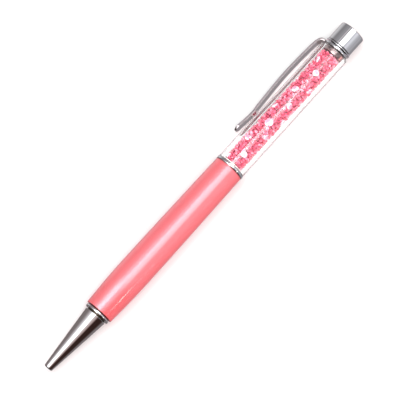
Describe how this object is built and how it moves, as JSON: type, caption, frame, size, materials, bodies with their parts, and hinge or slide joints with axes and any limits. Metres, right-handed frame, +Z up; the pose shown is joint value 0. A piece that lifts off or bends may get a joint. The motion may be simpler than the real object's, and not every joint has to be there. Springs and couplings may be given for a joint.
{
  "type": "gel pen",
  "caption": "Slim twist-action gel pen: pink pearl barrel, chrome nose, rings, clip and cap, and a clear upper tube filled with loose pink crystals.",
  "frame": {"origin": "on the surface the pen lies on, under the middle of its bounding box", "axes": "+X along the pen from nose to cap, +Z up from the surface, +Y towards the side the clip is on"},
  "size_m": [0.14, 0.0122, 0.0105],
  "materials": {
    "chrome": "polished chrome plate",
    "steel": "turned steel",
    "brass": "turned brass",
    "pearl_lacquer": "glossy coral pink pearl lacquer",
    "clear_acrylic": "polished clear acrylic",
    "pink_crystal": "faceted transparent pink",
    "nylon": "moulded nylon",
    "rubber": "black rubber",
    "refill_plastic": "translucent plastic",
    "gel_ink": "black gel",
    "grease": "clear amber grease"
  },
  "bodies": {
    "lower_half": {"nose_cone": "chrome", "nose_bush": "brass", "nose_ring": "chrome", "lower_barrel": "pearl_lacquer", "mechanism_housing": "nylon"},
    "upper_half": {"centre_ring": "chrome", "friction_ring": "rubber", "cam_rotor": "nylon", "tube_bottom_plug": "nylon", "crystal_tube": "clear_acrylic", "crystal_fill": "pink_crystal", "tube_top_plug": "steel", "cap_ring": "chrome", "clip_ring": "chrome", "finial_cap": "chrome", "cap_insert": "brass"},
    "clip": {"clip": "chrome"},
    "refill": {"slider": "nylon", "follower_pin": "steel", "refill_tube": "refill_plastic", "refill_tip": "steel", "ink_column": "gel_ink", "grease_follower": "grease", "refill_end_plug": "nylon", "return_spring": "steel"},
    "ball": {"writing_ball": "steel"}
  },
  "joints": [
    {"name": "twist", "type": "hinge", "parent": "lower_half", "child": "upper_half", "pos_m": [0, -0.00087, 0.00525], "axis": [-1, 0, 0], "range_deg": [0, 180]},
    {"name": "refill_slide", "type": "slide", "parent": "lower_half", "child": "refill", "axis": [-1, 0, 0], "range_m": [0, 0.0046], "deforming": ["return_spring"]},
    {"name": "clip_flex", "type": "hinge", "parent": "upper_half", "child": "clip", "pos_m": [0.06205, 0.0028, 0.00295], "axis": [0, -0.5305, -0.8477], "range_deg": [0, 5], "stiffness_Nm_per_rad": 1, "springref_deg": -0.57},
    {"name": "ball_roll", "type": "hinge", "parent": "refill", "child": "ball", "pos_m": [-0.06796, -0.00087, 0.00525], "axis": [0, 1, 0], "continuous": true}
  ],
  "couplings": [
    {"joint": "refill_slide", "follows": "twist", "m_per_rad": 0.001464}
  ]
}
